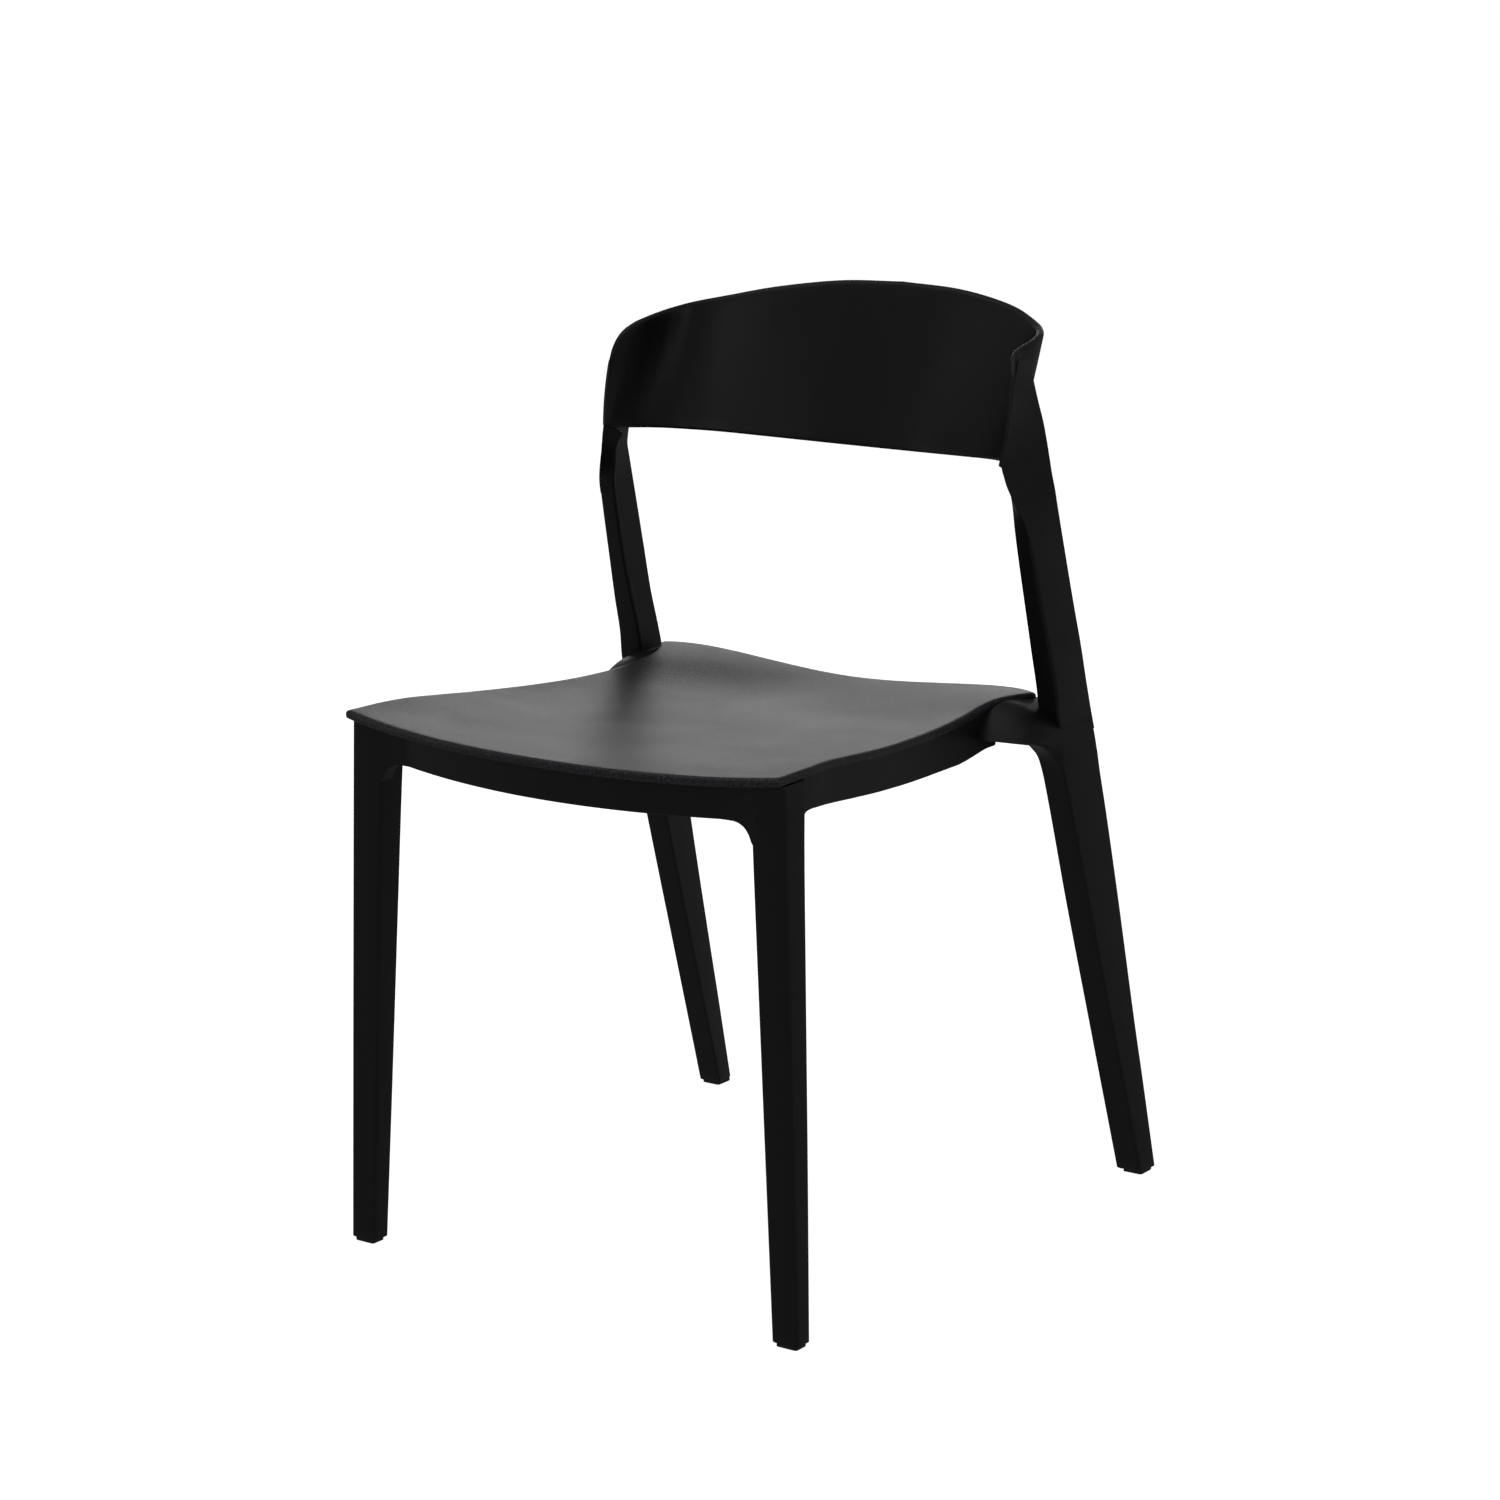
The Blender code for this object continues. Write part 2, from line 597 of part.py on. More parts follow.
def seatScrew(name, x, y, mirror, mat):
    z = lugTop(x, y) - 6 - gap
    rings = []
    for dz, r in ((-2.6, 3.0), (-2.2, 4.0), (-1.0, 5.0), (0.0, 5.0), (0.0, 2.0), (6 + 2 * gap + 8.0, 2.0)):
        rings.append([(x + r * math.cos(2 * math.pi * i / 14), y + r * math.sin(2 * math.pi * i / 14), z + dz)
                      for i in range(14)])
    screw = loft(name, rings, mat, mirror)
    ring = [(x + 1.5 * math.cos(math.pi * i / 3), y + 1.5 * math.sin(math.pi * i / 3)) for i in range(6)]
    combine(screw, loft("recess", [[(p[0], p[1], z + dz) for p in ring] for dz in (-4, -1.0)], None, mirror),
            "DIFFERENCE")
    return screw


def build():
    clearScene()
    frameMat = material("frame_black", (0.012, 0.012, 0.013), 0.38)
    seatMat = material("seat_black", (0.02, 0.02, 0.021), 0.55)
    glideMat = material("glide_black", (0.03, 0.03, 0.03), 0.6)
    padMat = material("pad_black", (0.02, 0.02, 0.02), 0.8)
    screwMat = material("screw_zinc", (0.6, 0.6, 0.6), 0.35)
    for side, mirror in (("right", False), ("left", True)):
        frontLeg(side, mirror, frameMat)
        rearLeg(side, mirror, frameMat)
        sideRail(side, mirror, frameMat)
        glide("glide_front_" + side, 218.2, 9.2, 10, 7.5, mirror, glideMat)
        glide("glide_rear_" + side, 232, 544, 9.5, 10, mirror, glideMat)
        for place, (x, y) in zip(("front", "rear"), screwSpots):
            seatScrew("seat_screw_%s_%s" % (place, side), x, y, mirror, screwMat)
        for place, y in zip(("front", "rear"), padDepths):
            stackPad("stack_pad_%s_%s" % (place, side), y, mirror, padMat)
    frontRail(frameMat)
    rearRail(frameMat)
    backBand(frameMat)
    seatShell(seatMat)


build()
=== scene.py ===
import math

import bmesh
import bpy
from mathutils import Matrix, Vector


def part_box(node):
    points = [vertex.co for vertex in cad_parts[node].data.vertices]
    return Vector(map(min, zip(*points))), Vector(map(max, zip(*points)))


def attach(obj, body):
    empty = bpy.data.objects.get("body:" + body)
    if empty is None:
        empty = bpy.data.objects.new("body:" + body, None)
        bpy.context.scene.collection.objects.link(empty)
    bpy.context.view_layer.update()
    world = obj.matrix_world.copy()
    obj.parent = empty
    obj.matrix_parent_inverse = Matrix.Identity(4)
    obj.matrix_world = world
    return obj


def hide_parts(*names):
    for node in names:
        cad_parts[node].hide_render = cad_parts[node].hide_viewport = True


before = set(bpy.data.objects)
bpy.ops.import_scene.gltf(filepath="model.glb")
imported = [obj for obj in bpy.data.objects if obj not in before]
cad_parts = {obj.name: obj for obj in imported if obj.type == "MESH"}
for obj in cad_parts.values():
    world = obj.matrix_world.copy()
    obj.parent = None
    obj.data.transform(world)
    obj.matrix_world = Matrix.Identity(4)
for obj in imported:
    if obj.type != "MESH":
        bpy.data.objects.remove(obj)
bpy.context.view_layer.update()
mm = 0.001

# every table below is in mm: x from the chair's middle, y back from the legs' front face, z from the floor
glideBehindFace = 9.2                       # the front glide's middle stands this far behind that face
glideLow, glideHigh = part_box("glide_front_right")
frontFaceY = (glideLow[1] + glideHigh[1]) / 2 / mm - glideBehindFace
sides = (("right", False), ("left", True))


def stage(text):
    print("chair:", text)


def hexToLinear(code):
    values = []
    for i in (0, 2, 4):
        c = int(code[i:i + 2], 16) / 255
        values.append(c / 12.92 if c <= 0.04045 else ((c + 0.055) / 1.055) ** 2.4)
    return (values[0], values[1], values[2], 1.0)


# smooth values between the rows of a table, whose first column is the place along the piece
def smoothAt(table, t):
    last = len(table) - 1
    if t <= table[0][0]:
        return [float(v) for v in table[0][1:]]
    if t >= table[last][0]:
        return [float(v) for v in table[last][1:]]
    i = 0
    while t > table[i + 1][0]:
        i += 1
    span = table[i + 1][0] - table[i][0]
    s = (t - table[i][0]) / span
    out = []
    for k in range(1, len(table[0])):
        a = table[i][k]
        b = table[i + 1][k]
        before = after = (b - a) / span
        if i > 0:
            before = (b - table[i - 1][k]) / (table[i + 1][0] - table[i - 1][0])
        if i + 2 <= last:
            after = (table[i + 2][k] - a) / (table[i + 2][0] - table[i][0])
        out.append((2 * s ** 3 - 3 * s * s + 1) * a + (s ** 3 - 2 * s * s + s) * span * before
                   + (3 * s * s - 2 * s ** 3) * b + (s ** 3 - s * s) * span * after)
    return out


def spread(low, high, count):
    return [low + (high - low) * i / (count - 1) for i in range(count)]


# closed outline through corners, each rounded by its own reach
def softOutline(corners, reaches, steps=6):
    out = []
    n = len(corners)
    for i in range(n):
        p = Vector(corners[i])
        a = Vector(corners[i - 1]) - p
        b = Vector(corners[(i + 1) % n]) - p
        startAt = p + a.normalized() * min(reaches[i], 0.46 * a.length)
        endAt = p + b.normalized() * min(reaches[i], 0.46 * b.length)
        for k in range(steps + 1):
            s = k / steps
            q = startAt * (1 - s) ** 2 + p * (2 * s * (1 - s)) + endAt * s * s
            out.append((q.x, q.y))
    return out


def toWorld(x, y, z):
    return Vector((x * mm, (y + frontFaceY) * mm, z * mm))


def meshObject(name, bm, sharpAngle=38):
    bmesh.ops.recalc_face_normals(bm, faces=bm.faces[:])
    mesh = bpy.data.meshes.new(name)
    bm.to_mesh(mesh)
    bm.free()
    mesh.shade_smooth()
    mesh.set_sharp_from_angle(angle=math.radians(sharpAngle))
    ob = bpy.data.objects.new(name, mesh)
    bpy.context.scene.collection.objects.link(ob)
    return ob


# closed skin through rings of (x, y, z), for the right side or mirrored to the left
def skin(name, rings, mirrored=False, sharpAngle=38):
    bm = bmesh.new()
    side = -1 if mirrored else 1
    rows = [[bm.verts.new(toWorld(side * x, y, z)) for x, y, z in ring] for ring in rings]
    n = len(rings[0])
    for a, b in zip(rows[:-1], rows[1:]):
        for i in range(n):
            j = (i + 1) % n
            bm.faces.new((a[i], a[j], b[j], b[i]))
    bm.faces.new(list(reversed(rows[0])))
    bm.faces.new(rows[-1])
    return meshObject(name, bm, sharpAngle)


def join(target, tool, operation, folded=False):
    mod = target.modifiers.new("join", "BOOLEAN")
    mod.operation = operation
    mod.solver = "EXACT"
    mod.use_self = folded                # the band's wings fold close to themselves
    mod.object = tool
    graph = bpy.context.evaluated_depsgraph_get()
    mesh = bpy.data.meshes.new_from_object(target.evaluated_get(graph))
    target.modifiers.remove(mod)
    target.data = mesh
    bpy.data.objects.remove(tool, do_unlink=True)
    mesh.shade_smooth()
    mesh.set_sharp_from_angle(angle=math.radians(38))


def fit(piece, material, slotName, *nodes):
    piece.data.materials.clear()
    piece.data.materials.append(material)
    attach(piece, "root")
    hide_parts(*nodes)


# one node with its settings, and links given as input: output
def addNode(tree, kind, settings=None, links=None):
    node = tree.nodes.new(kind)
    for key, value in (settings or {}).items():
        if isinstance(key, int) or key in node.inputs:
            node.inputs[key].default_value = value
        else:
            setattr(node, key, value)
    for key, output in (links or {}).items():
        tree.links.new(output, node.inputs[key])
    return node


def newMaterial(name):
    mat = bpy.data.materials.new(name)
    mat.use_nodes = True
    tree = mat.node_tree
    return mat, tree, tree.nodes["Principled BSDF"]


cameraSetup = {
    "azimuth": 34.75,          # degrees round the chair from straight in front
    "elevation": 12.94,        # degrees above the horizon
    "distance": 3.4,           # metres from the aim point
    "aim": (0.0325, -0.0398, 0.4234),
    "lens": 97.06,             # mm on a 36 mm wide sensor
}


def addCamera():
    data = bpy.data.cameras.new("camera")
    data.lens = cameraSetup["lens"]
    data.sensor_width = 36
    cam = bpy.data.objects.new("camera", data)
    bpy.context.scene.collection.objects.link(cam)
    az = math.radians(cameraSetup["azimuth"])
    el = math.radians(cameraSetup["elevation"])
    away = Vector((math.sin(az) * math.cos(el), -math.cos(az) * math.cos(el), math.sin(el)))
    cam.location = Vector(cameraSetup["aim"]) + away * cameraSetup["distance"]
    cam.rotation_euler = (math.pi / 2 - el, 0, az)
    bpy.context.scene.camera = cam


addCamera()
stage("camera set")


frameFinish = {
    "colour": "17171A",
    "worn": "2C2C2F",          # corners that hands and stacking have rubbed
    "roughness": 0.40,
    "ior": 1.49,
    "grainSize": 0.9,          # mm; the real skin is finer, drawn this coarse so that it shows
    "grainDepth": 0.012,
    "flowSize": 70.0,          # mm between the soft patches that the melt leaves
}


# Glass-filled polypropylene, injection moulded in a satin tool: a dark even face with a fine
# tight grain that breaks up the gloss, faint cloudy flow patches and slightly polished edges.
def mouldedFramePolypropylene():
    f = frameFinish
    mat, tree, shader = newMaterial("satin_moulded_polypropylene")
    place = addNode(tree, "ShaderNodeTexCoord").outputs["Object"]
    grain = addNode(tree, "ShaderNodeTexNoise", {"Scale": 1000 / f["grainSize"], "Detail": 3.0},
                    {"Vector": place})
    flow = addNode(tree, "ShaderNodeTexNoise", {"Scale": 1000 / f["flowSize"], "Detail": 4.0,
                                                "Distortion": 0.6}, {"Vector": place})
    edge = addNode(tree, "ShaderNodeNewGeometry").outputs["Pointiness"]
    rubbed = addNode(tree, "ShaderNodeMapRange", {"From Min": 0.52, "From Max": 0.62, "To Max": 0.55},
                     {"Value": edge})
    patch = addNode(tree, "ShaderNodeMapRange", {"From Min": 0.35, "From Max": 0.7, "To Min": 0.35}, {
        "Value": flow.outputs["Fac"]})
    worn = addNode(tree, "ShaderNodeMath", {"operation": "MULTIPLY"}, {
        0: rubbed.outputs["Result"], 1: patch.outputs["Result"]})
    tone = addNode(tree, "ShaderNodeMix", {"data_type": "RGBA", 6: hexToLinear(f["colour"]),
                                           7: hexToLinear(f["worn"])}, {0: worn.outputs[0]})
    tree.links.new(tone.outputs[2], shader.inputs["Base Color"])
    gloss = addNode(tree, "ShaderNodeMapRange", {
        "From Min": 0.3, "From Max": 0.72, "To Min": f["roughness"] - 0.035,
        "To Max": f["roughness"] + 0.05}, {"Value": flow.outputs["Fac"]})
    polish = addNode(tree, "ShaderNodeMath", {"operation": "MULTIPLY_ADD", 1: -0.07}, {
        0: worn.outputs[0], 2: gloss.outputs["Result"]})
    tree.links.new(polish.outputs[0], shader.inputs["Roughness"])
    bump = addNode(tree, "ShaderNodeBump", {"Strength": 0.35, "Distance": f["grainDepth"] * mm},
                   {"Height": grain.outputs["Fac"]})
    tree.links.new(bump.outputs["Normal"], shader.inputs["Normal"])
    shader.inputs["IOR"].default_value = f["ior"]
    return mat


seatFinish = {
    "colour": "26262A",
    "grainTopHighlightAndWear": "5C5C62",         # tops of the grain, painted lighter as a highlight where light catches them, and greyed by wear
    "roughness": 0.37,
    "ior": 1.49,
    "grainSize": 1.5,          # mm; the real spark grain is about half this, drawn coarser to show
    "grainDepth": 0.15,
    "cloudSize": 90.0,
}


# Polypropylene, moulded against a spark-eroded steel face: a fine pebbled matt skin
# that scatters the light softly and looks greyer than the frame at a low angle.
def sparkErodedSeatPolypropylene():
    f = seatFinish
    mat, tree, shader = newMaterial("spark_eroded_polypropylene")
    place = addNode(tree, "ShaderNodeTexCoord").outputs["Object"]
    pebble = addNode(tree, "ShaderNodeTexVoronoi", {"feature": "SMOOTH_F1", "Scale": 1000 / f["grainSize"],
                                                    "Smoothness": 0.7}, {"Vector": place})
    fine = addNode(tree, "ShaderNodeTexNoise", {"Scale": 1700 / f["grainSize"], "Detail": 3.0,
                                                "Roughness": 0.65}, {"Vector": place})
    cloud = addNode(tree, "ShaderNodeTexNoise", {"Scale": 1000 / f["cloudSize"], "Detail": 5.0,
                                                 "Distortion": 0.4}, {"Vector": place})
    height = addNode(tree, "ShaderNodeMath", {"operation": "ADD"}, {
        0: pebble.outputs["Distance"], 1: fine.outputs["Fac"]})
    # painted highlight: the raised tops of the grain are coloured lighter as if lit, mixed with a little
    # wear
    grainTopHighlightAndWear = addNode(tree, "ShaderNodeMapRange", {"From Min": 0.80, "From Max": 1.35, "To Max": 0.8},
                    {"Value": height.outputs[0]})
    tone = addNode(tree, "ShaderNodeMix", {"data_type": "RGBA", 6: hexToLinear(f["colour"]),
                                           7: hexToLinear(f["grainTopHighlightAndWear"])}, {0: grainTopHighlightAndWear.outputs["Result"]})
    tree.links.new(tone.outputs[2], shader.inputs["Base Color"])
    gloss = addNode(tree, "ShaderNodeMapRange", {
        "From Min": 0.3, "From Max": 0.7, "To Min": f["roughness"] - 0.13,
        "To Max": f["roughness"] - 0.06}, {"Value": cloud.outputs["Fac"]})
    dull = addNode(tree, "ShaderNodeMath", {"operation": "MULTIPLY_ADD", 1: 0.10}, {
        0: height.outputs[0], 2: gloss.outputs["Result"]})
    tree.links.new(dull.outputs[0], shader.inputs["Roughness"])
    bump = addNode(tree, "ShaderNodeBump", {"Strength": 0.9, "Distance": f["grainDepth"] * mm},
                   {"Height": height.outputs[0]})
    tree.links.new(bump.outputs["Normal"], shader.inputs["Normal"])
    shader.inputs["IOR"].default_value = f["ior"]
    return mat


glideFinish = {"colour": "1B1B1D", "scuff": "4A4A4C", "roughness": 0.5, "ior": 1.53, "scratchSize": 1.6}


# Nylon 6, moulded: a slightly waxy black whose lower edge is scuffed grey by the floor.
def mouldedGlideNylon():
    f = glideFinish
    mat, tree, shader = newMaterial("scuffed_nylon")
    place = addNode(tree, "ShaderNodeTexCoord").outputs["Object"]
    scratch = addNode(tree, "ShaderNodeTexNoise", {"Scale": 1000 / f["scratchSize"], "Detail": 6.0,
                                                   "Roughness": 0.7}, {"Vector": place})
    height = addNode(tree, "ShaderNodeSeparateXYZ", None, {"Vector": place})
    low = addNode(tree, "ShaderNodeMapRange", {"From Max": 2.5 * mm, "To Min": 1.0, "To Max": 0.1},
                  {"Value": height.outputs["Z"]})
    scuffed = addNode(tree, "ShaderNodeMath", {"operation": "MULTIPLY"}, {
        0: low.outputs["Result"], 1: scratch.outputs["Fac"]})
    tone = addNode(tree, "ShaderNodeMix", {"data_type": "RGBA", 6: hexToLinear(f["colour"]),
                                           7: hexToLinear(f["scuff"])}, {0: scuffed.outputs[0]})
    tree.links.new(tone.outputs[2], shader.inputs["Base Color"])
    rough = addNode(tree, "ShaderNodeMapRange", {
        "To Min": f["roughness"] - 0.05, "To Max": f["roughness"] + 0.15}, {"Value": scratch.outputs["Fac"]})
    tree.links.new(rough.outputs["Result"], shader.inputs["Roughness"])
    bump = addNode(tree, "ShaderNodeBump", {"Strength": 0.4, "Distance": 0.03 * mm}, {
        "Height": scratch.outputs["Fac"]})
    tree.links.new(bump.outputs["Normal"], shader.inputs["Normal"])
    shader.inputs["IOR"].default_value = f["ior"]
    return mat


padFinish = {"colour": "141415", "dust": "2A2A2A", "roughness": 0.78, "ior": 1.50, "grainSize": 1.0}


# Thermoplastic rubber, moulded: dull, soft and dusty, with no clear highlight.
def mouldedPadRubber():
    f = padFinish
    mat, tree, shader = newMaterial("dusty_rubber")
    place = addNode(tree, "ShaderNodeTexCoord").outputs["Object"]
    dust = addNode(tree, "ShaderNodeTexNoise", {"Scale": 1000 / f["grainSize"], "Detail": 5.0},
                   {"Vector": place})
    tone = addNode(tree, "ShaderNodeMix", {"data_type": "RGBA", 6: hexToLinear(f["colour"]),
                                           7: hexToLinear(f["dust"])}, {0: dust.outputs["Fac"]})
    tree.links.new(tone.outputs[2], shader.inputs["Base Color"])
    rough = addNode(tree, "ShaderNodeMapRange", {
        "To Min": f["roughness"] - 0.08, "To Max": f["roughness"] + 0.08}, {"Value": dust.outputs["Fac"]})
    tree.links.new(rough.outputs["Result"], shader.inputs["Roughness"])
    bump = addNode(tree, "ShaderNodeBump", {"Strength": 0.4, "Distance": 0.04 * mm}, {
        "Height": dust.outputs["Fac"]})
    tree.links.new(bump.outputs["Normal"], shader.inputs["Normal"])
    shader.inputs["IOR"].default_value = f["ior"]
    return mat


screwFinish = {"colour": "A9ACB0", "stain": "7E8186", "roughness": 0.34, "spotSize": 2.5}


# Steel, zinc plated and clear passivated: a cool grey metal with cloudy spots in the plating.
def platedScrewSteel():
    f = screwFinish
    mat, tree, shader = newMaterial("zinc_plated_steel")
    place = addNode(tree, "ShaderNodeTexCoord").outputs["Object"]
    spots = addNode(tree, "ShaderNodeTexNoise", {"Scale": 1000 / f["spotSize"], "Detail": 6.0},
                    {"Vector": place})
    tone = addNode(tree, "ShaderNodeMix", {"data_type": "RGBA", 6: hexToLinear(f["colour"]),
                                           7: hexToLinear(f["stain"])}, {0: spots.outputs["Fac"]})
    tree.links.new(tone.outputs[2], shader.inputs["Base Color"])
    rough = addNode(tree, "ShaderNodeMapRange", {
        "To Min": f["roughness"] - 0.08, "To Max": f["roughness"] + 0.12}, {"Value": spots.outputs["Fac"]})
    tree.links.new(rough.outputs["Result"], shader.inputs["Roughness"])
    bump = addNode(tree, "ShaderNodeBump", {"Strength": 0.3, "Distance": 0.02 * mm}, {
        "Height": spots.outputs["Fac"]})
    tree.links.new(bump.outputs["Normal"], shader.inputs["Normal"])
    shader.inputs["Metallic"].default_value = 1.0
    return mat


frameMat = mouldedFramePolypropylene()
seatMat = sparkErodedSeatPolypropylene()
glideMat = mouldedGlideNylon()
padMat = mouldedPadRubber()
screwMat = platedScrewSteel()
stage("materials made")


seat = {
    "rim": 8.0,                # thickness seen round the edge
    "middle": 5.0,             # thickness of the dished part
    "edgeRound": 3.2,
    "across": 64,
    "along": 60,
    # y, half width
    "half": [(-45, 216), (-7, 217.5), (0, 217), (40, 215), (80, 209.5), (120, 205), (160, 201),
             (200, 195.5), (240, 190), (280, 185), (320, 181), (350, 179.5), (368, 180), (382, 183.5),
             (394, 189.5), (404, 195), (415, 196.5), (430, 196.5)],
    # y, height of the top at the side edge, height of the top in the middle, how square the dish is
    "top": [(-45, 467, 461.5, 2.4), (0, 468, 459, 2.4), (60, 467.3, 454, 2.4), (100, 464, 450.5, 2.4),
            (140, 460, 447.5, 2.4), (180, 456.6, 445, 2.4), (220, 454, 443.3, 2.4), (260, 452.3, 442.5, 2.4),
            (300, 452.2, 442.3, 2.4), (330, 453.5, 442.8, 2.3), (365, 457, 444.4, 2.1),
            (400, 459.3, 446.4, 1.7), (430, 459, 447.4, 1.6)],
}


def seatTop(x, y):
    half = smoothAt(seat["half"], y)[0]
    edge, mid, power = smoothAt(seat["top"], y)
    s = min(1.0, abs(x) / half)
    dish = s ** power
    settled = s * s * (3 - 2 * s)                     # flattens out beside the uprights
    back = min(1.0, max(0.0, (y - 300) / 110))
    return mid + (edge - mid) * (dish * (1 - back) + settled * back)


def seatFront(s):
    return -7.5 - 30.0 * (1 - s * s)


def seatRear(s):
    return 428.0 - 16.0 * abs(s) ** 9


# point of the seat's plan, with inset measured in from its edge
def seatPlan(s, t, inset):
    y = seatFront(s) * (1 - t) + seatRear(s) * t + inset * (1 - 2 * t)
    return s * (smoothAt(seat["half"], y)[0] - inset), y


def seatPiece():
    bm = bmesh.new()
    rim = seat["rim"]
    soft = seat["edgeRound"]
    across = seat["across"]
    along = seat["along"]
    # the grid is closer near the edges so that the rim turns smoothly
    sValues = [math.sin(math.pi / 2 * v) * 0.35 + 0.65 * v for v in spread(-1, 1, across + 1)]
    tValues = [0.5 + 0.5 * (math.sin(math.pi / 2 * v) * 0.35 + 0.65 * v) for v in spread(-1, 1, along + 1)]

    def sheet(drop, thinner):
        rows = []
        for t in tValues:
            row = []
            for s in sValues:
                x, y = seatPlan(s, t, soft)
                edge = min(1 - abs(s), 2 * min(t, 1 - t))
                blend = min(1.0, max(0.0, (edge - 0.06) / 0.08))
                blend = blend * blend * (3 - 2 * blend)
                row.append(bm.verts.new(toWorld(x, y, seatTop(x, y) - drop + thinner * blend)))
            rows.append(row)
        return rows

    top = sheet(0.0, 0.0)
    under = sheet(rim, rim - seat["middle"])
    for j in range(along):
        for i in range(across):
            bm.faces.new((top[j][i], top[j][i + 1], top[j + 1][i + 1], top[j + 1][i]))
            bm.faces.new((under[j][i], under[j + 1][i], under[j + 1][i + 1], under[j][i + 1]))
    border = [(i, 0) for i in range(across)] + [(across, j) for j in range(along)]
    border += [(i, along) for i in range(across, 0, -1)] + [(0, j) for j in range(along, 0, -1)]
    loops = [[top[j][i] for i, j in border]]
    profile = []
    for k in range(1, 6):
        a = math.pi / 2 * k / 6
        profile.append((soft * (1 - math.sin(a)), soft * (1 - math.cos(a))))
    profile.append((0.0, soft))
    profile.append((0.15, rim - soft * 0.7))
    for k in range(1, 5):
        a = math.pi / 2 * k / 5
        profile.append((0.15 + (soft - 0.15) * (1 - math.cos(a)), rim - soft * 0.7 * (1 - math.sin(a))))
    for inset, drop in profile:
        loop = []
        for i, j in border:
            x, y = seatPlan(sValues[i], tValues[j], inset)
            xi, yi = seatPlan(sValues[i], tValues[j], soft)
            loop.append(bm.verts.new(toWorld(x, y, seatTop(xi, yi) - drop)))
        loops.append(loop)
    loops.append([under[j][i] for i, j in border])
    n = len(border)
    for a, b in zip(loops[:-1], loops[1:]):
        for k in range(n):
            m = (k + 1) % n
            bm.faces.new((a[k], b[k], b[m], a[m]))
    piece = meshObject("moulded_seat_shell", bm, 60)
    fit(piece, seatMat, "seat", "seat_shell")


seatPiece()
stage("seat moulded")


frontLeg = {
    "footZ": 3.3,
    "edge": 0.8,               # small round at the foot
    # z, outer x, inner x, front y, rear y, reach of the outer front corner
    "shape": [(0, 230.6, 205.4, 0, 18.3, 3.0), (150, 226.1, 198.5, -0.5, 22.2, 3.6),
              (300, 221.4, 191.6, -1.0, 25.6, 4.2), (406, 218, 186.9, -1.5, 28.3, 4.8),
              (460, 216.4, 184.8, -1.5, 31, 5.0)],
}


def frontLegPiece(side, mirrored):
    rings = []
    foot = frontLeg["footZ"]
    for z in [foot, foot + 0.3, foot + frontLeg["edge"]] + spread(12, 459.3, 46):
        outX, inX, frontY, rearY, reach = smoothAt(frontLeg["shape"], z)
        tuck = 0.6 if z == foot else (0.2 if z < foot + 0.5 else 0.0)
        corners = [(outX - tuck, frontY + tuck), (outX - tuck, rearY - tuck), (inX + tuck, rearY - tuck),
                   (inX + tuck, frontY + tuck)]
        plan = softOutline(corners, [reach, 3.0, 2.6, 3.2])
        rings.append([(x, y, min(z, seatTop(x, y) - seat["rim"] - 0.1)) for x, y in plan])
    piece = skin("moulded_front_leg_" + side, rings, mirrored)
    fit(piece, frameMat, "frame", "front_leg_" + side)


frontRail = {
    "middleY": -27.0,          # face of the rail in the middle
    "bow": 25.0,               # how far the middle stands forward of the legs
    "end": 196.0,
    "under": 425.6,
    "sag": 1.1,                # how much lower the underside hangs in the middle
    "filletStart": 168.2,
    "fillet": 17.8,            # radius under the corner with the leg
    "thick": 12.0,
}


def frontRailPiece():
    rings = []
    r = frontRail
    for x in spread(-r["end"], r["end"], 131):
        a = abs(x)
        face = r["middleY"] + r["bow"] * (a / 155) ** 2
        if a > 140:
            face = min(face, -1.5)
        if a > 186:
            face += 0.06                                   # just under the leg's own face
        over = min(r["fillet"] - 0.05, max(0.0, a - r["filletStart"]))
        low = r["under"] - r["fillet"] + math.sqrt(r["fillet"] ** 2 - over ** 2)
        low -= r["sag"] * max(0.0, 1 - (a / 165) ** 2)
        high = seatTop(x, max(face + 6, seatFront(min(1.0, a / 214)) + 6)) - seat["rim"] + 0.6
        back = face + r["thick"] + 4 * (a / 185) ** 4
        rings.append([(x, face, low + 2.4), (x, face, high), (x, back, high - 0.5), (x, back, low + 0.6),
                      (x, back - 0.6, low), (x, face + 2.4, low), (x, face + 1.2, low + 0.3),
                      (x, face + 0.35, low + 1.1)])
    piece = skin("moulded_front_rail", rings)
    fit(piece, frameMat, "frame", "front_rail")


sideRail = {
    "tuck": 1.5,               # how far the rail's face lies inside the seat's edge
    "thick": 13.0,
    # y, height of the underside
    "low": [(16, 424), (28.5, 426), (31.5, 429), (35, 431.3), (41, 432.3), (51, 431.9), (76, 429.6),
            (128, 424), (201, 417.2), (240, 414.4), (279, 412.5), (305, 411.5), (318, 411.2),
            (332, 412.1), (348, 414.5), (362, 416.9), (380, 417.6)],
    "lugs": [(183, 95), (160, 285)],     # screw places
}


def railOuter(y):
    return smoothAt(seat["half"], min(y, 365))[0] - sideRail["tuck"]


